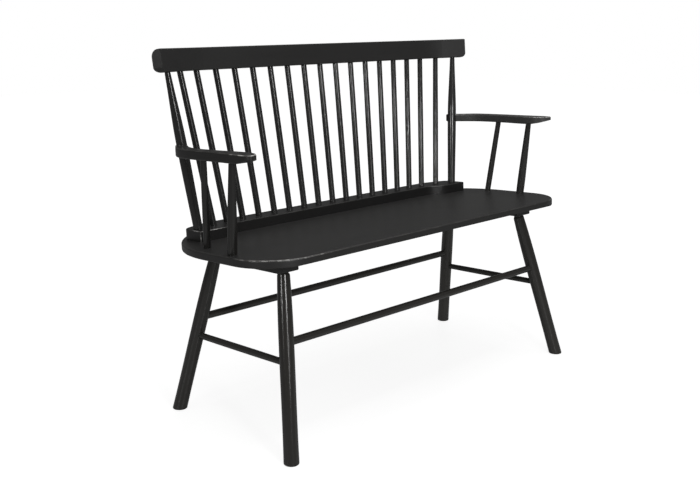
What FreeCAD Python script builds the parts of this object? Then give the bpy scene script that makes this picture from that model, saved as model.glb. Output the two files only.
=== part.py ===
import FreeCAD, Part
import math
import os

# Deacons bench in painted hardwood: a sloping plank seat on four splayed legs with
# stretchers, two end posts and seventeen spindles between a sawn back strip and a bent
# crest rail, and an open arm at each end on two turned uprights.
# Millimetres. X runs along the bench, the front faces -Y, Z is up, left means -X.
# While the pieces are made, X = 0 is the middle of the bench, Y = 0 passes through the
# feet of the two end posts and Z = 0 is the floor.

Vector = FreeCAD.Vector

# seat plank
seat_width = 1100.0
seat_front = 365.0            # front edge, ahead of the end posts' feet
seat_back = 72.0              # back edge, behind the end posts' feet
seat_thickness = 19.0
seat_front_height = 456.4     # top of the seat at its front edge
seat_slope = 3.2              # degrees, falling to the back
seat_front_corner = 122.0
seat_end_sweep = 243.0        # large radius of the swept back corners
seat_sweep_start = 124.0      # where that sweep leaves the straight end
seat_back_corner = 40.0
seat_top_round = 4.5
seat_bottom_round = 3.0
seat_bevel_height = 3.2       # bevel planed under the front edge
seat_bevel_depth = 12.0

# cleats under the seat, one at each end, that take the legs
cleat_width = 58.0
cleat_thickness = 26.8
cleat_inset = 115.0           # its middle line, from the seat's end
cleat_front_inset = 73.0      # its front end, from the seat's front edge
cleat_length = 297.0
cleat_round = 3.0
cleat_screw_inset = 58.0

# legs
leg_front_inset = 21.0        # from the cleat's front end to the front leg's middle
leg_back_inset = 23.0
leg_splay = 71.4              # how far the foot stands outside the top
front_leg_rake = 101.5        # how far the front foot stands ahead of its top
back_leg_rake = 73.0
leg_top_radius = 14.6
leg_neck_radius = 16.7
leg_neck_share = 0.8          # of the leg's height; from there it narrows faster
leg_foot_radius = 18.0
leg_tenon_radius = 11.5
leg_tenon_length = 19.0
leg_shoulder_gap = 4.6        # clears the cleat on the high side of the slanted leg
leg_shoulder_round = 4.0
foot_round = 2.5

# stretchers
front_stretcher_height = 253.2
back_stretcher_height = 239.4
side_stretcher_front_height = 210.0
side_stretcher_back_height = 194.5
long_stretcher_radius = 9.4
side_stretcher_radius = 8.2
stretcher_taper = 0.4         # its ends and tenons are this much slimmer in radius
stretcher_tenon_length = 19.0

# back strip that lies on the seat
strip_height = 25.4
strip_front = 4.5             # front edge, ahead of the end posts' feet
strip_back = 62.0
strip_inset = 65.0            # its end, from the seat's end
strip_step = 31.0             # how far the ends step forward
strip_step_start = 147.0      # the step and the turn are measured from the strip's end
strip_step_end = 65.0
strip_back_turn_start = 100.0
strip_back_turn_end = 38.0
strip_back_turn_drop = 14.0
strip_corner = 34.0
strip_round = 2.5

# the line of sockets in the strip, straight in the middle and turned forward at the ends
foot_line_y = 28.2
foot_line_bend_start = 156.0  # from the strip's end
foot_line_bend_radius = 200.0
foot_line_bend_angle = 15.0

# back spindles and end posts
spindles_each_side = 8
spindle_visible_length = 370.8
spindle_foot_radius = 8.0
spindle_middle_radius = 7.9
spindle_head_radius = 7.2
spindle_tenon_length = 20.0
back_rake = 7.5               # degrees
post_foot_inset = 14.5        # from the strip's end, along the line of sockets
post_foot_gap = 57.7          # from there to the outer spindle
post_head_inset = 38.0        # from the crest rail's end, along the rail
post_head_gap = 55.4
post_foot_radius = 11.1
post_swell_radius = 12.5
post_head_radius = 6.9
post_foot_tenon_radius = 10.4
post_foot_tenon_length = 38.0
post_head_tenon_radius = 6.5
post_head_tenon_length = 30.0

# crest rail
crest_height = 53.6
crest_thickness = 24.8
crest_overhang = 1.0          # half its length along the bend, past half the seat's
crest_bend_start = 166.0      # from the rail's end
crest_bend_radius = 200.0
crest_bend_angle = 26.0
crest_end_lift = 2.8          # degrees that the bent ends rise as they come forward
crest_back_top_round = 18.5
crest_back_bottom_round = 13.0
crest_front_round = 2.0
crest_end_bottom_round = 14.0
crest_end_top_round = 5.0

# arms
arm_thickness = 21.2
arm_slope = 2.46              # degrees, falling to the back
arm_clear_height = 204.0      # from the seat to the arm, at the front upright
arm_round = 3.5
arm_nose_undercut = 48.0
arm_nose_lip = 9.5
# plan of an arm, as (distance in from the seat's end, Y), from the notch forward along
# the inner edge, round the nose and back along the outer edge
arm_inner_edge = [(72.0, 13.0), (66.5, 4.0), (59.0, -9.0), (47.0, -32.0), (38.5, -58.0),
                  (35.0, -90.0), (36.5, -125.0), (40.0, -165.0), (46.5, -205.0),
                  (49.5, -238.0)]
arm_nose = [(46.5, -267.0), (39.0, -284.0), (26.0, -294.5), (13.0, -299.5), (6.5, -290.0)]
arm_outer_edge = [(4.0, -262.0), (3.0, -180.0), (1.5, -110.0), (3.0, -62.0),
                  (9.0, -33.0), (21.5, -10.5)]
# the arm's rear end, measured from the post's axis: (along the arm, outward)
arm_rear_end = [(-12.0, 15.8), (3.0, 15.6), (12.0, 11.0), (16.2, 2.0), (15.4, -6.8),
                (9.2, -12.0)]
arm_rear_turn = 33.0          # degrees, how far the rear end points inward

# uprights under the arms
front_upright_foot = (23.0, -211.0)   # (distance in from the seat's end, Y)
front_upright_head = (17.0, -226.5)
rear_upright_foot = (35.0, -102.0)
rear_upright_head = (19.0, -121.0)
front_upright_radius = 11.0
front_upright_head_radius = 7.4
rear_upright_radius = 8.2
rear_upright_head_radius = 7.3
upright_shoulder = 0.4        # how much slimmer in radius the tenons are
upright_foot_tenon_length = 14.0
upright_head_tenon_length = 14.0

# screws
screw_shank_radius = 2.0
screw_head_radius = 3.8
screw_head_depth = 2.4
cleat_screw_length = 38.0
strip_screw_length = 36.0
strip_screw_steps = (0.5, 2.5, 5.5, 7.5)  # places in spindle pitches from the middle
arm_screw_length = 24.0
arm_screw_sink = 0.4          # how far the head lies below the arm's edge

# fits
socket_clearance = 0.1
socket_end_gap = 0.8
screw_clearance = 0.1
notch_clearance = 0.3
tenon_bevel = 0.8
surface_reveal = 2.2          # plain stretch of tenon where a slanted piece meets a face

overcut = 5.0                 # how far a cutter stands past the face that it opens

# lengths that follow from these
seat_half = seat_width / 2
strip_half = seat_half - strip_inset
crest_half = seat_half + crest_overhang
cleat_depth = seat_thickness + cleat_thickness
cleat_front = -seat_front + cleat_front_inset
cleat_back = cleat_front + cleat_length
post_foot_along = strip_half - post_foot_inset
post_head_along = crest_half - post_head_inset
spindle_foot_pitch = (post_foot_along - post_foot_gap) / spindles_each_side
spindle_head_pitch = (post_head_along - post_head_gap) / spindles_each_side

origin = Vector(0, 0, 0)
x_axis = Vector(1, 0, 0)
up = Vector(0, 0, 1)


def seat_top_at(y):
    return seat_front_height - math.tan(math.radians(seat_slope)) * (y + seat_front)


def on_seat(x, y, above=0.0):
    """A point over the seat, measured square to the plank from its top face."""
    tilt = math.radians(seat_slope)
    return Vector(x, y + above * math.sin(tilt), seat_top_at(y) + above * math.cos(tilt))


def lay_on_seat(shape):
    """Takes a shape drawn with Z = 0 at the seat's top to the sloping plank."""
    shape.rotate(origin, x_axis, -seat_slope)
    shape.translate(Vector(0, 0, seat_top_at(0)))
    return shape


def bent_line(along, start, radius, angle):
    """X and forward drop of a point on a line that turns forward at both ends; along is
    the distance from the middle measured on the line itself."""
    turn = math.radians(angle)
    past = abs(along) - start
    if past <= 0:
        x, drop = abs(along), 0.0
    elif past < radius * turn:
        x = start + radius * math.sin(past / radius)
        drop = radius * (1 - math.cos(past / radius))
    else:
        straight = past - radius * turn
        x = start + radius * math.sin(turn) + straight * math.cos(turn)
        drop = radius * (1 - math.cos(turn)) + straight * math.sin(turn)
    return math.copysign(x, along), drop


def unit(vector):
    return Vector(vector).normalize()


def on_axis(shape, start, direction):
    """Stands a shape made along +Z on a start point, along a direction."""
    shape.Placement = FreeCAD.Placement(start, FreeCAD.Rotation(up, direction))
    return shape


def socket(mouth, into, radius, depth):
    """Cutter for a blind round hole whose mouth is centred on a face."""
    length = depth + socket_end_gap + overcut
    return on_axis(Part.makeCylinder(radius + socket_clearance, length),
                   mouth - unit(into) * overcut, into)


def turned_piece(foot, head, girth, foot_tenon, head_tenon, reveal=surface_reveal):
    """A piece turned on a lathe. Foot and head are where its axis meets the two faces
    that it joins, girth lists (share of the length, radius) for the part between them,
    and each tenon is (radius, length)."""
    length = (head - foot).Length
    low = reveal
    high = length - reveal
    outline = Part.BSplineCurve()
    outline.interpolate([Vector(r, 0, low + share * (high - low)) for share, r in girth])
    foot_radius, foot_length = foot_tenon
    head_radius, head_length = head_tenon
    corners_below = [Vector(0, 0, -foot_length),
                     Vector(foot_radius - tenon_bevel, 0, -foot_length),
                     Vector(foot_radius, 0, -foot_length + tenon_bevel),
                     Vector(foot_radius, 0, low)]
    corners_above = [Vector(head_radius, 0, high),
                     Vector(head_radius, 0, length + head_length - tenon_bevel),
                     Vector(head_radius - tenon_bevel, 0, length + head_length),
                     Vector(0, 0, length + head_length)]
    if abs(girth[0][1] - foot_radius) > 0.01:
        corners_below.append(Vector(girth[0][1], 0, low))
    if abs(girth[-1][1] - head_radius) > 0.01:
        corners_above.insert(0, Vector(girth[-1][1], 0, high))
    edges = list(Part.makePolygon(corners_below).Edges)
    edges.append(outline.toShape())
    edges += Part.makePolygon(corners_above + [corners_below[0]]).Edges
    blank = Part.Face(Part.Wire(edges)).revolve(origin, up, 360)
    return on_axis(blank, foot, head - foot)


def mirrored(shape):
    return shape.mirror(origin, x_axis)


def rounded(shape, radius, wanted):
    """Rounds the edges that a test picks."""
    return shape.makeFillet(radius, [edge for edge in shape.Edges if wanted(edge)])


def lies_at_height(z):
    """A test for edges that lie all along one level."""
    return lambda edge: abs(edge.BoundBox.ZMin - z) < 0.01 and abs(edge.BoundBox.ZMax - z) < 0.01


def drilled(shape, cutters):
    return shape.cut(Part.makeCompound(cutters))


def wood_screw(head_at, direction, length):
    """A countersunk wood screw whose head is flush with the face at head_at."""
    corners = [Vector(0, 0, 0), Vector(screw_head_radius, 0, 0),
               Vector(screw_shank_radius, 0, screw_head_depth),
               Vector(screw_shank_radius, 0, length - 2 * screw_shank_radius),
               Vector(0, 0, length), Vector(0, 0, 0)]
    blank = Part.Face(Part.makePolygon(corners)).revolve(origin, up, 360)
    return on_axis(blank, head_at, direction)


def screw_hole(head_at, direction, length):
    """The hole that a screw needs, open to the side that it is driven from."""
    wide = screw_head_radius + screw_clearance
    narrow = screw_shank_radius + screw_clearance
    corners = [Vector(0, 0, -overcut), Vector(wide, 0, -overcut), Vector(wide, 0, 0),
               Vector(narrow, 0, screw_head_depth), Vector(narrow, 0, length),
               Vector(0, 0, length + screw_clearance), Vector(0, 0, -overcut)]
    blank = Part.Face(Part.makePolygon(corners)).revolve(origin, up, 360)
    return on_axis(blank, head_at, direction)


# Where things meet

def socket_line(along, above):
    """A point over the line of sockets in the strip; above is measured from the seat."""
    x, drop = bent_line(along, strip_half - foot_line_bend_start, foot_line_bend_radius,
                        foot_line_bend_angle)
    return on_seat(x, foot_line_y - drop, above)


rake_along = Vector(0, math.sin(math.radians(back_rake)), math.cos(math.radians(back_rake)))
crest_foot = socket_line(0, strip_height) + rake_along * spindle_visible_length


def crest_point(along):
    """A point on the middle line of the crest rail's underside."""
    x, drop = bent_line(along, crest_half - crest_bend_start, crest_bend_radius,
                        crest_bend_angle)
    return crest_foot + Vector(x, -drop, drop * math.tan(math.radians(crest_end_lift)))


def arm_underside_at(y):
    front_y = front_upright_head[1]
    rise = math.tan(math.radians(arm_slope))
    return seat_top_at(front_y) + arm_clear_height - rise * (y - front_y)


post_foot = socket_line(post_foot_along, strip_height)
post_head = crest_point(post_head_along)
post_along = unit(post_head - post_foot)


def post_axis_at(z):
    return post_foot + post_along * ((z - post_foot.z) / post_along.z)


arm_joint = post_axis_at(arm_underside_at(post_foot.y) + arm_thickness / 2)
arm_joint_share = (arm_joint - post_foot).Length / (post_head - post_foot).Length

def leg_ends(side, front):
    """Foot and head of a leg's axis; side is -1 at the left and 1 at the right."""
    x = side * (seat_half - cleat_inset)
    if front:
        head = on_seat(x, cleat_front + leg_front_inset, -cleat_depth)
        foot = Vector(head.x + side * leg_splay, head.y - front_leg_rake, 0)
    else:
        head = on_seat(x, cleat_back - leg_back_inset, -cleat_depth)
        foot = Vector(head.x + side * leg_splay, head.y + back_leg_rake, 0)
    return foot, head


def leg_point(side, front, height):
    foot, head = leg_ends(side, front)
    return foot + (head - foot) * (height / head.z)


def leg_radius_at(height):
    """The leg's plain taper, from the foot to the neck under the cleat."""
    share = height / (seat_front_height - cleat_depth)
    return leg_foot_radius + (leg_neck_radius - leg_foot_radius) * share / leg_neck_share


stretcher_lines = {
    "front_stretcher": (leg_point(-1, True, front_stretcher_height),
                        leg_point(1, True, front_stretcher_height), long_stretcher_radius),
    "back_stretcher": (leg_point(-1, False, back_stretcher_height),
                       leg_point(1, False, back_stretcher_height), long_stretcher_radius),
}
for side, word in ((-1, "left"), (1, "right")):
    stretcher_lines[word + "_stretcher"] = (
        leg_point(side, True, side_stretcher_front_height),
        leg_point(side, False, side_stretcher_back_height), side_stretcher_radius)


def upright_ends(foot_xy, head_xy):
    """Axis of an upright at the right end, from the seat's top to the arm's underside; the
    two places are (distance in from the seat's end, Y)."""
    foot = on_seat(seat_half - foot_xy[0], foot_xy[1])
    head = Vector(seat_half - head_xy[0], head_xy[1], arm_underside_at(head_xy[1]))
    return foot, head


front_upright_line = upright_ends(front_upright_foot, front_upright_head)
rear_upright_line = upright_ends(rear_upright_foot, rear_upright_head)


# Seat plank

def seat_outline():
    """Half of the plan from the front middle to the back middle, then its mirror image."""
    corner_x = seat_half - seat_front_corner
    corner_y = -seat_front + seat_front_corner
    diagonal = seat_front_corner * math.sin(math.radians(45))
    sweep = Vector(seat_half - seat_end_sweep, -seat_sweep_start, 0)
    back_y = seat_back - seat_back_corner
    reach = seat_end_sweep - seat_back_corner
    back_x = sweep.x + math.sqrt(reach ** 2 - (back_y - sweep.y) ** 2)
    toward = unit(Vector(back_x, back_y, 0) - sweep)
    meet = sweep + toward * seat_end_sweep
    half_turn = math.atan2(toward.y, toward.x) / 2
    sweep_middle = sweep + Vector(math.cos(half_turn), math.sin(half_turn), 0) * seat_end_sweep
    back_turn = (math.atan2(toward.y, toward.x) + math.pi / 2) / 2
    back_middle = Vector(back_x, back_y, 0)
    back_middle += Vector(math.cos(back_turn), math.sin(back_turn), 0) * seat_back_corner
    front_end = Vector(corner_x, -seat_front, 0)
    side_front = Vector(seat_half, corner_y, 0)
    side_back = Vector(seat_half, -seat_sweep_start, 0)
    back_end = Vector(back_x, seat_back, 0)
    corner_middle = Vector(corner_x + diagonal, corner_y - diagonal, 0)
    edges = [Part.makeLine(Vector(0, -seat_front, 0), front_end),
             Part.Arc(front_end, corner_middle, side_front).toShape(),
             Part.makeLine(side_front, side_back),
             Part.Arc(side_back, sweep_middle, meet).toShape(),
             Part.Arc(meet, back_middle, back_end).toShape(),
             Part.makeLine(back_end, Vector(0, seat_back, 0))]
    right = Part.Wire(edges)
    return Part.Wire(right.Edges + Part.Wire(mirrored(right).Edges).Edges)


def make_seat():
    plank = Part.Face(seat_outline()).extrude(Vector(0, 0, -seat_thickness))
    plank = rounded(plank, seat_top_round, lies_at_height(0))
    plank = rounded(plank, seat_bottom_round, lies_at_height(-seat_thickness))
    edge_bottom = seat_bevel_height - seat_thickness
    fall = overcut * seat_bevel_depth / seat_bevel_height
    bevel = Part.makePolygon([
        Vector(-seat_width, -seat_front, edge_bottom),
        Vector(-seat_width, -seat_front + seat_bevel_depth + fall, -seat_thickness - overcut),
        Vector(-seat_width, -seat_front - overcut, -seat_thickness - overcut),
        Vector(-seat_width, -seat_front - overcut, edge_bottom),
        Vector(-seat_width, -seat_front, edge_bottom)])
    plank = plank.cut(Part.Face(bevel).extrude(Vector(2 * seat_width, 0, 0)))
    return lay_on_seat(plank)


# Cleats

def make_cleat(side):
    near_x = side * (seat_half - cleat_inset) - cleat_width / 2
    block = Part.makeBox(cleat_width, cleat_length, cleat_thickness,
                         Vector(near_x, cleat_front, -cleat_depth))
    block = rounded(block, cleat_round,
                    lambda edge: edge.BoundBox.ZMax < -seat_thickness - cleat_round
                    or edge.BoundBox.ZLength > cleat_thickness / 2)
    return lay_on_seat(block)


def cleat_screw_places(side):
    """Heads of the three screws of one cleat, on its underside."""
    first = cleat_front + cleat_screw_inset
    last = cleat_back - cleat_screw_inset
    return [on_seat(side * (seat_half - cleat_inset), y, -cleat_depth)
            for y in (first, (first + last) / 2, last)]


# Legs

def make_leg(side, front):
    foot, head = leg_ends(side, front)
    length = (head - foot).Length
    below = leg_foot_radius           # cut off level with the floor afterwards
    start = foot - unit(head - foot) * below
    shoulder = length - leg_shoulder_gap
    turn = Vector(leg_top_radius - leg_shoulder_round * 0.3, 0, shoulder - leg_shoulder_round * 0.3)
    taper = Part.BSplineCurve()
    taper.interpolate([Vector(leg_foot_radius, 0, 0),
                       Vector(leg_radius_at(head.z * 0.45), 0, below + length * 0.45),
                       Vector(leg_neck_radius, 0, below + length * leg_neck_share),
                       Vector(leg_top_radius, 0, below + shoulder - leg_shoulder_round)])
    round_over = Part.Arc(Vector(leg_top_radius, 0, below + shoulder - leg_shoulder_round),
                          turn + Vector(0, 0, below),
                          Vector(leg_top_radius - leg_shoulder_round / 2, 0, below + shoulder))
    upper = [Vector(leg_top_radius - leg_shoulder_round / 2, 0, below + shoulder),
             Vector(leg_tenon_radius, 0, below + shoulder),
             Vector(leg_tenon_radius, 0, below + length + leg_tenon_length - tenon_bevel),
             Vector(leg_tenon_radius - tenon_bevel, 0, below + length + leg_tenon_length),
             Vector(0, 0, below + length + leg_tenon_length), Vector(0, 0, 0)]
    sole = Part.makeLine(origin, Vector(leg_foot_radius, 0, 0))
    edges = [sole, taper.toShape(), round_over.toShape()] + Part.makePolygon(upper).Edges
    blank = on_axis(Part.Face(Part.Wire(edges)).revolve(origin, up, 360), start, head - foot)
    floor = Part.makeBox(8 * below, 8 * below, 4 * below,
                         Vector(foot.x - 4 * below, foot.y - 4 * below, -4 * below))
    leg = blank.cut(floor)
    return rounded(leg, foot_round, lies_at_height(0))


# Stretchers

def stretcher_shoulders(name):
    """Where a stretcher's axis meets the surface of the leg at each end."""
    start, end, middle_radius = stretcher_lines[name]
    along = unit(end - start)
    return start + along * leg_radius_at(start.z), end - along * leg_radius_at(end.z), middle_radius


def make_stretcher(name):
    foot, head, middle_radius = stretcher_shoulders(name)
    end_radius = middle_radius - stretcher_taper
    tenon = (end_radius, stretcher_tenon_length)
    girth = [(0.0, end_radius), (0.25, middle_radius - stretcher_taper / 4),
             (0.5, middle_radius), (0.75, middle_radius - stretcher_taper / 4),
             (1.0, end_radius)]
    return turned_piece(foot, head, girth, tenon, tenon)


def stretcher_sockets(name):
    foot, head, middle_radius = stretcher_shoulders(name)
    end_radius = middle_radius - stretcher_taper
    return [socket(foot, foot - head, end_radius, stretcher_tenon_length),
            socket(head, head - foot, end_radius, stretcher_tenon_length)]


# Back strip

def strip_half_outline():
    """Right half of the strip's plan, from the front middle round to the back middle."""
    step_start = strip_half - strip_step_start
    step_end = strip_half - strip_step_end
    step_middle = (step_start + step_end) / 2
    step_y = -strip_front - strip_step
    front_curve = Part.BezierCurve()
    front_curve.setPoles([Vector(step_start, -strip_front, 0),
                          Vector(step_middle, -strip_front, 0),
                          Vector(step_middle, step_y, 0), Vector(step_end, step_y, 0)])
    turn_start = Vector(strip_half - strip_back_turn_start, strip_back, 0)
    turn_end = Vector(strip_half - strip_back_turn_end, strip_back - strip_back_turn_drop, 0)
    corner = Vector(strip_half, turn_end.y - strip_corner, 0)
    slope = unit(Vector(strip_back_turn_start, -strip_step, 0))
    pull = strip_corner * 0.65
    back_curve = Part.BezierCurve()
    back_curve.setPoles([turn_end, turn_end - slope * pull, turn_start + x_axis * pull,
                         turn_start])
    corner_curve = Part.BezierCurve()
    corner_curve.setPoles([corner, corner + Vector(0, pull, 0), turn_end + slope * pull,
                           turn_end])
    front_end = Vector(strip_half, step_y, 0)
    return [Part.makeLine(Vector(0, -strip_front, 0), Vector(step_start, -strip_front, 0)),
            front_curve.toShape(),
            Part.makeLine(Vector(step_end, step_y, 0), front_end),
            Part.makeLine(front_end, corner), corner_curve.toShape(), back_curve.toShape(),
            Part.makeLine(turn_start, Vector(0, strip_back, 0))]


def make_strip():
    right = Part.Wire(strip_half_outline())
    outline = Part.Wire(right.Edges + Part.Wire(mirrored(right).Edges).Edges)
    strip = Part.Face(outline).extrude(Vector(0, 0, strip_height))
    strip = rounded(strip, strip_round,
                    lambda edge: abs(edge.BoundBox.ZMin - strip_height) < 0.01
                    or (edge.BoundBox.ZLength > strip_height / 2
                        and abs(edge.BoundBox.YMin + strip_front + strip_step) < 0.01))
    return lay_on_seat(strip)


def strip_screw_places():
    """Heads of the screws that hold the strip, on the seat's underside, between sockets."""
    return [socket_line(side * step * spindle_foot_pitch, -seat_thickness)
            for step in strip_screw_steps for side in (-1, 1)]


# Crest rail

def crest_section():
    """Cross-section in the YZ plane: flat front, well rounded back."""
    half = crest_thickness / 2
    height = crest_height
    small = crest_front_round
    top = crest_back_top_round
    low = crest_back_bottom_round
    lean = math.sin(math.radians(45))

    def corner(cx, cz, radius, from_x, from_z, to_x, to_z, side_x, side_z):
        middle = Vector(0, cx + side_x * radius * lean, cz + side_z * radius * lean)
        return Part.Arc(Vector(0, from_x, from_z), middle, Vector(0, to_x, to_z)).toShape()

    edges = [Part.makeLine(Vector(0, -half, small), Vector(0, -half, height - small)),
             corner(-half + small, height - small, small, -half, height - small,
                    -half + small, height, -1, 1),
             Part.makeLine(Vector(0, -half + small, height), Vector(0, half - top, height)),
             corner(half - top, height - top, top, half - top, height, half, height - top, 1, 1),
             Part.makeLine(Vector(0, half, height - top), Vector(0, half, low)),
             corner(half - low, low, low, half, low, half - low, 0, 1, -1),
             Part.makeLine(Vector(0, half - low, 0), Vector(0, -half + small, 0)),
             corner(-half + small, small, small, -half + small, 0, -half, small, -1, -1)]
    return Part.Wire(edges)


def make_crest():
    """Half the rail is swept along its bent middle line, leaning back all the way, and the
    other half is its mirror image."""
    start = crest_half - crest_bend_start
    arc_length = crest_bend_radius * math.radians(crest_bend_angle)
    stops = [crest_point(along) - crest_foot
             for along in (0.0, start, start + arc_length / 2, start + arc_length, crest_half)]
    path = Part.Wire([Part.makeLine(stops[0], stops[1]),
                      Part.Arc(stops[1], stops[2], stops[3]).toShape(),
                      Part.makeLine(stops[3], stops[4])])
    section = crest_section()
    section.rotate(origin, x_axis, -back_rake)
    half = path.makePipeShell([section], True, False)
    # the two outer corners of the end are rounded as seen from the front
    end_along = unit(stops[4] - stops[3])
    trims = []
    for radius, at_top in ((crest_end_bottom_round, False), (crest_end_top_round, True)):
        centre_z = crest_height - radius if at_top else radius
        block_z = centre_z if at_top else -overcut
        deep = 3 * crest_thickness
        block = Part.makeBox(radius + overcut, deep, radius + overcut,
                             Vector(0, -deep / 2, block_z))
        block = block.cut(Part.makeCylinder(radius, deep, Vector(0, -deep / 2, centre_z),
                                            Vector(0, 1, 0)))
        block.rotate(origin, x_axis, -back_rake)
        block.rotate(origin, up, -crest_bend_angle)
        block.translate(stops[4] - end_along * radius)
        trims.append(block)
    half = half.cut(Part.makeCompound(trims))
    rail = half.fuse(mirrored(half)).removeSplitter()
    rail.translate(crest_foot)
    return rail


# Posts and spindles of the back

post_girth = [(0.0, post_foot_radius), (0.2, post_swell_radius - 0.8),
              (arm_joint_share * 0.8, post_swell_radius), (arm_joint_share, post_swell_radius),
              (0.6, post_swell_radius - 0.2), (0.8, (post_swell_radius + post_head_radius) / 2),
              (1.0, post_head_radius)]


def make_post():
    return turned_piece(post_foot, post_head, post_girth,
                        (post_foot_tenon_radius, post_foot_tenon_length),
                        (post_head_tenon_radius, post_head_tenon_length))


spindle_girth = [(0.0, spindle_foot_radius), (0.35, spindle_middle_radius),
                 (0.6, spindle_middle_radius - 0.1), (0.9, spindle_head_radius + 0.1),
                 (1.0, spindle_head_radius)]


def spindle_line(number):
    """Axis of a back spindle; number counts from the middle one, left is negative."""
    return (socket_line(number * spindle_foot_pitch, strip_height),
            crest_point(number * spindle_head_pitch))


def make_spindle(number):
    foot, head = spindle_line(number)
    return turned_piece(foot, head, spindle_girth, (spindle_foot_radius, spindle_tenon_length),
                        (spindle_head_radius, spindle_tenon_length))


# Arms and their uprights

rear_turn = math.radians(arm_rear_turn)
arm_rearward = Vector(-math.sin(rear_turn), math.cos(rear_turn), 0)
arm_outward = Vector(math.cos(rear_turn), math.sin(rear_turn), 0)


def make_arm():
    """The right arm: a sawn board with an undercut nose, notched round the end post."""
    points = [Vector(seat_half - inset, y, 0)
              for inset, y in arm_inner_edge + arm_nose + arm_outer_edge]
    joint = Vector(arm_joint.x, arm_joint.y, 0)
    points += [joint + arm_rearward * back + arm_outward * out for back, out in arm_rear_end]
    sawn = Part.BSplineCurve()
    sawn.interpolate(points, PeriodicFlag=True)
    board = Part.Face(Part.Wire([sawn.toShape()])).extrude(Vector(0, 0, arm_thickness))
    board = rounded(board, arm_round, lambda edge: edge.Length > 4 * arm_thickness)
    front_y = min(y for x, y in arm_nose)
    undercut = Part.makePolygon([
        Vector(0, front_y + arm_nose_undercut, 0),
        Vector(0, front_y, arm_thickness - arm_nose_lip),
        Vector(0, front_y - overcut, arm_thickness - arm_nose_lip),
        Vector(0, front_y - overcut, -overcut), Vector(0, front_y + arm_nose_undercut, -overcut),
        Vector(0, front_y + arm_nose_undercut, 0)])
    board = board.cut(Part.Face(undercut).extrude(Vector(seat_width, 0, 0)))
    board.rotate(origin, x_axis, -arm_slope)
    board.translate(Vector(0, 0, arm_underside_at(0)))
    return board.cut(post_notch())


def post_notch():
    """Cutter for the arm's notch: round at the bottom, open to the inner side."""
    radius = post_swell_radius + notch_clearance
    deep = 4 * arm_thickness
    bore = Part.makeCylinder(radius, deep, Vector(0, 0, -deep / 2))
    mouth = Part.makeBox(2 * radius, 2 * radius, deep, Vector(-2 * radius, -radius, -deep / 2))
    notch = bore.fuse(mouth)
    turn = FreeCAD.Rotation(arm_outward, arm_rearward, post_along, "ZXY")
    notch.Placement = FreeCAD.Placement(arm_joint, turn)
    return notch


def make_upright(line, low_radius, head_radius):
    """An upright that narrows evenly from a quarter of its height to its head."""
    foot, head = line
    fall = low_radius - head_radius
    girth = [(0.0, low_radius - 0.1), (0.25, low_radius), (0.5, low_radius - fall * 0.28),
             (0.75, low_radius - fall * 0.63), (1.0, head_radius)]
    return turned_piece(foot, head, girth,
                        (low_radius - upright_shoulder, upright_foot_tenon_length),
                        (head_radius - upright_shoulder, upright_head_tenon_length))


uprights = {
    "front_arm_post": (front_upright_line, front_upright_radius, front_upright_head_radius),
    "rear_arm_spindle": (rear_upright_line, rear_upright_radius, rear_upright_head_radius),
}


def upright_sockets(in_seat):
    """Sockets of the right end's uprights, in the seat or in the arm."""
    cutters = []
    for (foot, head), low_radius, head_radius in uprights.values():
        if in_seat:
            cutters.append(socket(foot, foot - head, low_radius - upright_shoulder,
                                  upright_foot_tenon_length))
        else:
            cutters.append(socket(head, head - foot, head_radius - upright_shoulder,
                                  upright_head_tenon_length))
    return cutters


# The arm screw is driven from the arm's outer edge, through the wall of the notch, into
# the post.
wall_out = max(out for back, out in arm_rear_end)
arm_screw_head = arm_joint + arm_outward * (wall_out - arm_screw_sink)
arm_screw_along = arm_outward * -1


# Put together

pieces = {}

spindle_numbers = range(-spindles_each_side, spindles_each_side + 1)
strip_sockets = [socket(foot, foot - head, spindle_foot_radius, spindle_tenon_length)
                 for foot, head in map(spindle_line, spindle_numbers)]
crest_sockets = [socket(head, head - foot, spindle_head_radius, spindle_tenon_length)
                 for foot, head in map(spindle_line, spindle_numbers)]
post_sockets = [socket(post_foot, post_foot - post_head, post_foot_tenon_radius,
                       post_foot_tenon_length)]
post_sockets.append(mirrored(post_sockets[0]))
post_head_sockets = [socket(post_head, post_head - post_foot, post_head_tenon_radius,
                            post_head_tenon_length)]
post_head_sockets.append(mirrored(post_head_sockets[0]))

cleat_heads = {side: cleat_screw_places(side) for side in (-1, 1)}
seat_normal = on_seat(0, 0, 1) - on_seat(0, 0)
strip_heads = strip_screw_places()
cleat_holes = [screw_hole(at, seat_normal, cleat_screw_length)
               for side in (-1, 1) for at in cleat_heads[side]]
strip_holes = [screw_hole(at, seat_normal, strip_screw_length) for at in strip_heads]
seat_sockets = upright_sockets(True)
seat_sockets += [mirrored(cutter) for cutter in seat_sockets]

pieces["seat"] = drilled(make_seat(), seat_sockets + post_sockets + cleat_holes + strip_holes)
pieces["back_strip"] = drilled(make_strip(), strip_sockets + post_sockets + strip_holes)
pieces["crest_rail"] = drilled(make_crest(), crest_sockets + post_head_sockets)

for number in spindle_numbers:
    name = "back_spindle_%02d" % (number + spindles_each_side + 1)
    pieces[name] = make_spindle(number)

stretcher_cutters = [cutter for name in stretcher_lines for cutter in stretcher_sockets(name)]
for side, side_word in ((-1, "left"), (1, "right")):
    leg_sockets = []
    for front, end_word in ((True, "front"), (False, "back")):
        foot, head = leg_ends(side, front)
        leg_sockets.append(socket(head, head - foot, leg_tenon_radius, leg_tenon_length))
        pieces["%s_%s_leg" % (side_word, end_word)] = drilled(make_leg(side, front),
                                                              stretcher_cutters)
    pieces[side_word + "_cleat"] = drilled(make_cleat(side), leg_sockets + cleat_holes)

for name in stretcher_lines:
    pieces[name] = make_stretcher(name)

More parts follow.
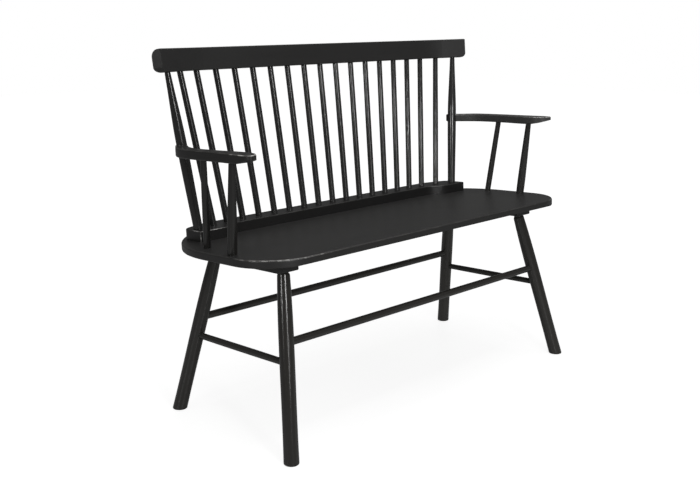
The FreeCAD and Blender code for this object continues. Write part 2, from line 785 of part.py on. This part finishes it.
arm_screw_cutter = screw_hole(arm_screw_head, arm_screw_along, arm_screw_length)
right_end = {
    "back_post": drilled(make_post(), [arm_screw_cutter]),
    "arm": drilled(make_arm(), upright_sockets(False) + [arm_screw_cutter]),
}
for name, sizes in uprights.items():
    right_end[name] = make_upright(*sizes)
for name, shape in right_end.items():
    pieces["right_" + name] = shape
    pieces["left_" + name] = mirrored(shape)

arm_screw = wood_screw(arm_screw_head, arm_screw_along, arm_screw_length)
pieces["arm_screws"] = Part.makeCompound([arm_screw, mirrored(arm_screw)])
pieces["cleat_screws"] = Part.makeCompound([wood_screw(at, seat_normal, cleat_screw_length)
                                            for side in (-1, 1) for at in cleat_heads[side]])
pieces["strip_screws"] = Part.makeCompound([wood_screw(at, seat_normal, strip_screw_length)
                                            for at in strip_heads])

# The bench is moved so that the origin is on the floor, in the middle of its footprint.
whole = Part.makeCompound(list(pieces.values())).optimalBoundingBox(False)
to_origin = Vector(0, -(whole.YMin + whole.YMax) / 2, 0)

os.makedirs("parts", exist_ok=True)
for name, shape in pieces.items():
    shape.translate(to_origin)
    shape.exportStep("parts/%s.step" % name)
    print("%-22s solids %2d  volume %10.0f" % (name, len(shape.Solids), shape.Volume))
print("size %.1f x %.1f x %.1f" % (whole.XLength, whole.YLength, whole.ZLength))
print("moved by %.2f, lowest %.2f" % (to_origin.y, whole.ZMin))
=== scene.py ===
import bpy
import math
from mathutils import Matrix, Vector

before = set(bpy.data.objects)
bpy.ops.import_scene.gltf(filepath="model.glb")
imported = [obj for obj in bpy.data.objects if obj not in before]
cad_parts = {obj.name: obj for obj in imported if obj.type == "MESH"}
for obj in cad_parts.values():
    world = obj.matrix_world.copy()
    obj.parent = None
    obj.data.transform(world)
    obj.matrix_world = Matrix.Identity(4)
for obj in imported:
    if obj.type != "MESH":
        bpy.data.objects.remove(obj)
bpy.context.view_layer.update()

# The view. The bench is seen from the front left, from just above the crest rail, with a
# lens a little longer than normal, so that the far end looks only slightly smaller.

eye = Vector((-1.7599, -1.7001, 0.9672))
heading = math.radians(44.188)        # turned from straight ahead, +Y, to the right
dip = math.radians(13.923)
line_of_sight = Vector((math.sin(heading) * math.cos(dip),
                        math.cos(heading) * math.cos(dip),
                        -math.sin(dip)))


def looking_along(place, direction):
    """Puts a camera or a lamp at place and turns it to look along direction."""
    return Matrix.Translation(place) @ direction.to_track_quat("-Z", "Y").to_matrix().to_4x4()


viewer = bpy.data.objects.new("viewer", bpy.data.cameras.new("viewer"))
viewer.data.lens = 49.29
viewer.data.sensor_width = 36.0
viewer.data.clip_end = 60.0
viewer.matrix_world = looking_along(eye, line_of_sight)
bpy.context.scene.collection.objects.link(viewer)
bpy.context.scene.camera = viewer
bpy.context.scene.view_settings.view_transform = "Standard"

# The studio. A grey sweep that is only floor here and glows just enough to be seen as
# white, so the bench keeps a faint shadow on it. Two large soft boxes hang overhead and in
# front, and three small ones, two in front and one far at the left, draw the streaks.


class Wire:
    """One output of a node. Sums and products of wires and numbers add Math nodes, and
    node() adds any other node, with its settings first and then its inputs."""

    def __init__(self, tree, socket=None):
        self.tree = tree
        self.socket = socket

    def node(self, kind, settings=None, inputs=None, out=0):
        made = self.tree.nodes.new("ShaderNode" + kind)
        for name, value in (settings or {}).items():
            if name == "stops":
                ramp = made.color_ramp.elements
                for number, (place, shade) in enumerate(value):
                    stop = ramp[number] if number < len(ramp) else ramp.new(place)
                    stop.position = place
                    stop.color = (shade, shade, shade, 1.0)
            else:
                setattr(made, name, value)
        for name, value in (inputs or {}).items():
            if isinstance(value, Wire):
                self.tree.links.new(value.socket, made.inputs[name])
            else:
                made.inputs[name].default_value = value
        return Wire(self.tree, made.outputs[out] if made.outputs else None)

    def maths(self, operation, first, second):
        return self.node("Math", {"operation": operation}, {0: first, 1: second})

    def __add__(self, other):
        return self.maths("ADD", self, other)

    def __sub__(self, other):
        return self.maths("SUBTRACT", self, other)

    def __rsub__(self, other):
        return self.maths("SUBTRACT", other, self)

    def __mul__(self, other):
        return self.maths("MULTIPLY", self, other)

    __radd__ = __add__
    __rmul__ = __mul__


def empty_finish(name):
    """A material with no nodes, and a wire to start adding them from."""
    finish = bpy.data.materials.new(name)
    finish.use_nodes = True
    finish.node_tree.nodes.clear()
    return finish, Wire(finish.node_tree)


def seen_directly(start):
    """1 for the camera's rays and those that come through glass, and 0 for the others."""
    camera_ray = start.node("LightPath", out="Is Camera Ray")
    glass_ray = start.node("LightPath", out="Is Transmission Ray")
    return camera_ray + glass_ray


sweep_reach = 9.0
sweep_drop = 0.0004        # under the soles, so that the two don't share a plane
sweep_grey = (0.30, 0.30, 0.30, 1.0)
sweep_rough = 0.35
mirror_share = 0.13        # satin paint shows the floor only dimly
glow_stops = [(0.0, 0.85), (0.14, 0.90), (0.27, 0.96), (0.40, 1.0)]

corners = [(-sweep_reach, -sweep_reach), (sweep_reach, -sweep_reach),
           (sweep_reach, sweep_reach), (-sweep_reach, sweep_reach)]
sweep_mesh = bpy.data.meshes.new("sweep")
sweep_mesh.from_pydata([(x, y, -sweep_drop) for x, y in corners], [], [(0, 1, 2, 3)])
sweep = bpy.data.objects.new("sweep", sweep_mesh)
bpy.context.scene.collection.objects.link(sweep)

sweep_finish, start = empty_finish("sweep_paper")
mirrored = start.node("LightPath", out="Is Glossy Ray")
away = start.node("VectorMath", {"operation": "LENGTH"},
                  {0: start.node("TexCoord", out="Object")}, out="Value")
glow_by_distance = start.node("ValToRGB", {"stops": glow_stops}, {0: away * (1 / sweep_reach)})
paper = start.node("BsdfPrincipled", inputs={"Base Color": sweep_grey, "Roughness": sweep_rough})
glow = start.node("Emission", inputs={"Color": glow_by_distance,
                                      "Strength": seen_directly(start) + mirrored * mirror_share})
lit_paper = start.node("AddShader", inputs={0: paper, 1: glow})
start.node("OutputMaterial", inputs={"Surface": lit_paper})
sweep.data.materials.append(sweep_finish)

room_white = (1.0, 1.0, 1.0, 1.0)
room_light = 0.13          # what the walls give the bench
room_seen = 1.0            # and how bright they look
room = bpy.data.worlds.new("room")
room.use_nodes = True
room.node_tree.nodes.clear()
start = Wire(room.node_tree)
dim = start.node("Background", inputs={"Color": room_white, "Strength": room_light})
white = start.node("Background", inputs={"Color": room_white, "Strength": room_seen})
walls = start.node("MixShader", inputs={0: seen_directly(start), 1: dim, 2: white})
start.node("OutputWorld", inputs={"Surface": walls})
bpy.context.scene.world = room


def soft_box(name, place, aim, width, height, power):
    """A rectangular lamp at place that shines towards aim."""
    lamp = bpy.data.lights.new(name, "AREA")
    lamp.shape = "RECTANGLE"
    lamp.size = width
    lamp.size_y = height
    lamp.energy = power
    box = bpy.data.objects.new(name, lamp)
    box.matrix_world = looking_along(Vector(place), Vector(aim) - Vector(place))
    bpy.context.scene.collection.objects.link(box)


soft_box("overhead_box", place=(0.0, -0.3, 3.0), aim=(0.0, 0.0, 0.4),
         width=2.8, height=1.8, power=42.0)
soft_box("fill_box", place=(-0.9, -3.0, 2.7), aim=(0.0, 0.1, 0.5),
         width=2.2, height=1.2, power=24.0)
soft_box("front_streak_box", place=(-1.0, -2.5, 1.30), aim=(0.0, 0.1, 0.6),
         width=0.38, height=0.42, power=13.0)
soft_box("front_low_box", place=(-1.0, -2.5, 0.86), aim=(0.0, 0.1, 0.6),
         width=0.36, height=0.46, power=3.2)
soft_box("left_streak_box", place=(-3.6, -0.37, 1.25), aim=(0.4, 0.1, 0.65),
         width=0.50, height=0.45, power=11.5)

# The seat. One wide plank, planed flat, with its ends sawn to a sweep and its upper edge
# well rounded, then painted black over the grain and rubbed to a satin. The rounded edge is
# painted paler, partly paint worn thin and partly a painted highlight, and the left front
# corner and the right one get pale spots, partly chips and partly painted highlights.


def black_paint(name, grain, painted_light_scale=1.0, warm=0.0, sheen=0.36, relief=0.5, edge_wear_and_highlight=0.0,
                facing=(0.0, 0.0, 1.0), chips_and_highlights=(), corner=None):
    """Satin black paint over wood. grain is the direction of the wood's fibres,
    painted_light_scale makes the black paler or darker as painted light and shade, for how
    brightly the piece is lit, and warm shifts the black; sheen is the roughness, relief the
    depth of the grain under the paint, and edge_wear_and_highlight how far rounded edges next
    to the face that looks along facing are painted paler, partly paint worn thin and partly a
    painted highlight. chips_and_highlights lists the middle, reach and strength of places where
    pale spots show on those edges, and on the upright edge that looks along corner, partly
    bare chips and partly painted highlights."""
    finish, start = empty_finish(name)
    place = start.node("TexCoord", out="Object")

    # strands and rings are noise drawn out along the grain, about 2 and 17 mm across;
    # clouds are uneven brushing, and specks are dust in the paint
    fibre_stretch = 0.96
    along = Vector(grain).normalized()
    reach = start.node("VectorMath", {"operation": "DOT_PRODUCT"}, {0: place, 1: along},
                       out="Value")
    shift = start.node("VectorMath", {"operation": "SCALE"},
                       {0: along, "Scale": reach * fibre_stretch})
    fibres = start.node("VectorMath", {"operation": "SUBTRACT"}, {0: place, 1: shift})
    strands = start.node("TexNoise", inputs={"Vector": fibres, "Scale": 420.0, "Detail": 3.0,
                                             "Roughness": 0.6})
    rings = start.node("TexNoise", inputs={"Vector": fibres, "Scale": 60.0, "Detail": 2.0})
    clouds = start.node("TexNoise", inputs={"Vector": place, "Scale": 7.0, "Detail": 2.0})
    specks = start.node("TexNoise", inputs={"Vector": place, "Scale": 900.0, "Detail": 1.0})
    pore = start.node("ValToRGB", {"stops": [(0.30, 0.0), (0.42, 1.0)]}, {0: strands})

    # the paint is a little greyer where it lies thin on hard strands
    thin = strands * 0.35 + rings * 0.35 + clouds * 0.3
    # painted light and shade: the paleness scale lifts or darkens the whole black for how brightly
    # the piece is lit
    deep = (0.0150 * painted_light_scale, 0.0148 * painted_light_scale, (0.0146 - 0.001 * warm) * painted_light_scale, 1.0)
    light = (0.0290 * painted_light_scale * (1 + 0.05 * warm), 0.0284 * painted_light_scale,
             0.0278 * painted_light_scale * (1 - 0.08 * warm), 1.0)
    colour = start.node("Mix", {"data_type": "RGBA"}, {"Factor": thin, 6: deep, 7: light}, out=2)
    rough = sheen + 0.10 * (clouds - 0.5) + 0.06 * (specks - 0.5)

    # a rounded edge is where the surface turns away from facing but isn't a side face yet
    if edge_wear_and_highlight or chips_and_highlights:
        normal = start.node("NewGeometry", out="Normal")
        look = start.node("VectorMath", {"operation": "DOT_PRODUCT"},
                          {0: normal, 1: Vector(facing).normalized()}, out="Value")

    if edge_wear_and_highlight:
        # painted highlight: rounded edges are painted paler, partly paint worn thin and partly a
        # painted highlight where they catch the light
        edge_stops = [(0.30, 0.0), (0.62, 1.0), (0.90, 1.0), (0.985, 0.0)]
        edge = start.node("ValToRGB", {"stops": edge_stops}, {0: look})
        blotches = start.node("TexNoise", inputs={"Vector": place, "Scale": 38.0, "Detail": 4.0})
        patchy = start.node("ValToRGB", {"stops": [(0.38, 0.25), (0.62, 1.0)]}, {0: blotches})
        wear_and_highlight = edge * patchy * edge_wear_and_highlight
        worn_and_highlit = (0.085, 0.082, 0.078, 1.0)
        polish = 0.08        # rubbed paint is that much less rough
        colour = start.node("Mix", {"data_type": "RGBA"}, {"Factor": wear_and_highlight, 6: colour, 7: worn_and_highlit},
                            out=2)
        rough = rough - polish * wear_and_highlight

    if chips_and_highlights:
        # painted highlight: these pale spots are partly bare chips and partly painted highlights
        # on the edges
        bare_and_highlit = (0.56, 0.55, 0.53, 1.0)
        rim_stops = [(0.32, 0.0), (0.48, 1.0), (0.88, 1.0), (0.96, 0.0)]
        rim = start.node("ValToRGB", {"stops": rim_stops}, {0: look})
        if corner:
            turned = start.node("VectorMath", {"operation": "DOT_PRODUCT"},
                                {0: normal, 1: Vector(corner).normalized()}, out="Value")
            rim = rim + start.node("ValToRGB", {"stops": [(0.84, 0.0), (0.92, 1.0)]}, {0: turned})
        flakes = start.node("TexNoise", inputs={"Vector": place, "Scale": 95.0, "Detail": 3.0})
        spots = start.node("ValToRGB", {"stops": [(0.46, 0.14), (0.60, 1.0)]}, {0: flakes})
        for middle, spread, strength in chips_and_highlights:
            off = start.node("VectorMath", {"operation": "DISTANCE"}, {0: place, 1: middle},
                             out="Value")
            close = start.node("ValToRGB", {"stops": [(0.55, 1.0), (1.0, 0.0)]},
                               {0: off * (1 / spread)})
            chip_and_highlight_mask = rim * spots * (close * strength)
            colour = start.node("Mix", {"data_type": "RGBA"},
                                {"Factor": chip_and_highlight_mask, 6: colour, 7: bare_and_highlit}, out=2)

    grain_depth = 0.0006
    height = strands * 0.5 + rings * 0.8 + pore * 0.25 + specks * 0.06
    bump = start.node("Bump", inputs={"Strength": relief, "Distance": grain_depth,
                                      "Height": height})
    skin = start.node("BsdfPrincipled", inputs={"Base Color": colour, "Roughness": rough,
                                                "Normal": bump, "IOR": 1.5})
    start.node("OutputMaterial", inputs={"Surface": skin})
    return finish


def paint_piece(node, finish):
    """Gives a CAD piece its finish in place of the plain one."""
    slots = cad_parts[node].data.materials
    slots.clear()
    slots.append(finish)


bench_length = (1.0, 0.0, 0.0)
seat_fall = math.radians(3.2)
seat_up = (0.0, math.sin(seat_fall), math.cos(seat_fall))
left_corner_chips_and_glint = ((-0.48, -0.19, 0.455), 0.12, 0.5)
right_corner_chips_and_glint = ((0.515, -0.16, 0.454), 0.08, 0.7)
# painted highlight: the seat's corner spots and paler edge are partly chips and wear, partly
# painted highlights
paint_piece("seat", black_paint("seat_paint", bench_length, sheen=0.40, relief=0.25,
                                edge_wear_and_highlight=0.35, facing=seat_up,
                                chips_and_highlights=[left_corner_chips_and_glint, right_corner_chips_and_glint]))

# The cleats. Two short battens screwed across the seat's underside, which stiffen the
# plank and take the legs. No hand rubs them, so their paint is the dullest.

seat_depthwise = (0.0, math.cos(seat_fall), -math.sin(seat_fall))
cleat_paint = black_paint("cleat_paint", seat_depthwise, painted_light_scale=0.9, sheen=0.46, relief=0.4)
for end in ("left", "right"):
    paint_piece(end + "_cleat", cleat_paint)

# The legs. Four turned legs, thickest at the floor, whose tops go into blind sockets in
# the cleats. Their grain runs from end to end, and their black is a little brown.


def along_piece(node):
    """The way from the middle of a piece's lowest part to the middle of its highest."""
    points = sorted((vertex.co.copy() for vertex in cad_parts[node].data.vertices),
                    key=lambda point: point.z)
    few = max(8, len(points) // 40)        # enough for the whole rim of an end
    low = sum(points[:few], Vector()) / few
    high = sum(points[-few:], Vector()) / few
    return high - low


# painted light: the right legs, the back one most, are painted paler where more light falls on
# them
leg_painted_light = {"left_front_leg": 1.4, "left_back_leg": 1.4,
                "right_front_leg": 1.65, "right_back_leg": 2.8}
for leg, painted_light_scale in leg_painted_light.items():
    paint_piece(leg, black_paint(leg + "_paint", along_piece(leg), painted_light_scale=painted_light_scale, warm=1.0,
                                 sheen=0.17, relief=0.35))

# The stretchers. Four slim turned rails, a little thicker in the middle, glued into blind
# sockets in the legs: two along the bench, and one from front to back at each end.

# painted light: the rails are painted paler than the seat's black, the back one most, for the
# light that falls on them
for rail, painted_light_scale in (("front_stretcher", 1.6), ("back_stretcher", 2.2)):
    paint_piece(rail, black_paint(rail + "_paint", bench_length, painted_light_scale=painted_light_scale, warm=1.0,
                                  sheen=0.19, relief=0.35))
for rail in ("left_stretcher", "right_stretcher"):
    paint_piece(rail, black_paint(rail + "_paint", along_piece(rail), painted_light_scale=1.6, warm=1.0,
                                  sheen=0.19, relief=0.35))

# The back strip. A sawn board glued and screwed along the back of the seat, with ends that
# step forward and every spindle socketed in its top face. Its black is painted darker, a
# painted shade under the back, its rounded edges are painted paler, partly wear and partly a
# painted highlight, and its left end gets pale spots, partly chips and partly a painted
# highlight.

strip_end_chips_and_glint = ((-0.465, 0.115, 0.458), 0.055, 1.0)
strip_end_corner = (-1.0, -1.0, 0.0)
# painted shade and highlight: the strip's black is painted darker for the shade under the back,
# and its edge and end marks are partly wear and chips, partly painted highlights
paint_piece("back_strip", black_paint("strip_paint", bench_length, painted_light_scale=0.5, sheen=0.38,
                                      relief=0.3, edge_wear_and_highlight=0.5, facing=seat_up,
                                      chips_and_highlights=[strip_end_chips_and_glint], corner=strip_end_corner))

# The spindles. Seventeen slim turned rods that fan out a little between the strip and the
# crest rail, each painted a little paler than the one on its left: painted light, for the
# light that falls brighter towards the right end.

for number in range(1, 18):
    rod = "back_spindle_%02d" % number
    # painted light: the paleness rises from left to right, for the light that falls brighter
    # towards the right end
    sheen = 0.17 - 0.003 * number + 0.012 * (number % 3)
    paint_piece(rod, black_paint(rod + "_paint", along_piece(rod), painted_light_scale=0.8 + 0.05 * number,
                                 sheen=sheen, relief=0.3))

# The end posts. Two stouter turned posts, thickest at the arms, whose feet go through the
# strip into the seat.

# painted light: the right post is painted paler than the left one, where more light falls
for post, painted_light_scale, sheen in (("left_back_post", 0.9, 0.16), ("right_back_post", 1.6, 0.12)):
    paint_piece(post, black_paint(post + "_paint", along_piece(post), painted_light_scale=painted_light_scale, sheen=sheen,
                                  relief=0.3))

# The crest rail. A board bent forward at both ends, flat in front and rounded behind,
# leaning back at the rake of the spindles.

crest_up = (0.0, -0.13, 0.99)
# painted highlight: its rounded edges are painted paler, partly wear and partly a painted
# highlight
paint_piece("crest_rail", black_paint("crest_paint", bench_length, sheen=0.42, relief=0.28,
                                      edge_wear_and_highlight=0.3, facing=crest_up))

# The arms. Two sawn boards, notched round the end posts and screwed there, with an
# undercut nose. Their edges are painted paler, partly paint worn thin and partly a painted
# highlight, and the nose and notch get pale spots, partly chips and partly painted
# highlights. The right arm is painted much paler than the left, painted light for the light
# that falls brighter on the right.

arm_grain = (0.0, 1.0, -0.04)
# painted light and highlight: the right arm is painted paler where more light falls, and the nose
# and notch spots are partly chips, partly painted highlights
for end, side, painted_light_scale in (("left", -1.0, 0.75), ("right", 1.0, 2.45)):
    nose_chips_and_glint = ((side * 0.525, -0.135, 0.667), 0.06, 1.0)
    notch_chips_and_glint = ((side * 0.495, 0.165, 0.663), 0.04, 1.0)
    paint_piece(end + "_arm", black_paint(end + "_arm_paint", arm_grain, painted_light_scale=painted_light_scale, sheen=0.36,
                                          relief=0.35, edge_wear_and_highlight=0.6,
                                          chips_and_highlights=[nose_chips_and_glint, notch_chips_and_glint]))

# The uprights under the arms. A stout one in front and a slim one behind it at each end,
# both narrowing to the arm.

# painted light: the right uprights are painted paler than the left ones, where more light falls
for end, painted_light_scale in (("left", 0.75), ("right", 1.4)):
    for upright in (end + "_front_arm_post", end + "_rear_arm_spindle"):
        paint_piece(upright, black_paint(upright + "_paint", along_piece(upright), painted_light_scale=painted_light_scale,
                                         warm=0.6, sheen=0.20, relief=0.35))

# The screws. Plain plated wood screws under the cleats and the seat and at the backs of
# the arms, turned in until they are flush.

screw_finish, start = empty_finish("screw_plating")
place = start.node("TexCoord", out="Object")
haze = start.node("TexNoise", inputs={"Vector": place, "Scale": 260.0, "Detail": 3.0})
grit = start.node("TexNoise", inputs={"Vector": place, "Scale": 1800.0, "Detail": 1.0})
dull_zinc = (0.34, 0.34, 0.33, 1.0)
bright_zinc = (0.52, 0.51, 0.47, 1.0)
plating = start.node("Mix", {"data_type": "RGBA"}, {"Factor": haze, 6: dull_zinc, 7: bright_zinc},
                     out=2)
plating_rough = 0.26 + 0.22 * haze
grit_depth = 0.0001
plating_bump = start.node("Bump", inputs={"Strength": 0.3, "Distance": grit_depth, "Height": grit})
plated = start.node("BsdfPrincipled", inputs={"Base Color": plating, "Roughness": plating_rough,
                                              "Metallic": 1.0, "Normal": plating_bump})
start.node("OutputMaterial", inputs={"Surface": plated})
for screws in ("cleat_screws", "strip_screws", "arm_screws"):
    paint_piece(screws, screw_finish)
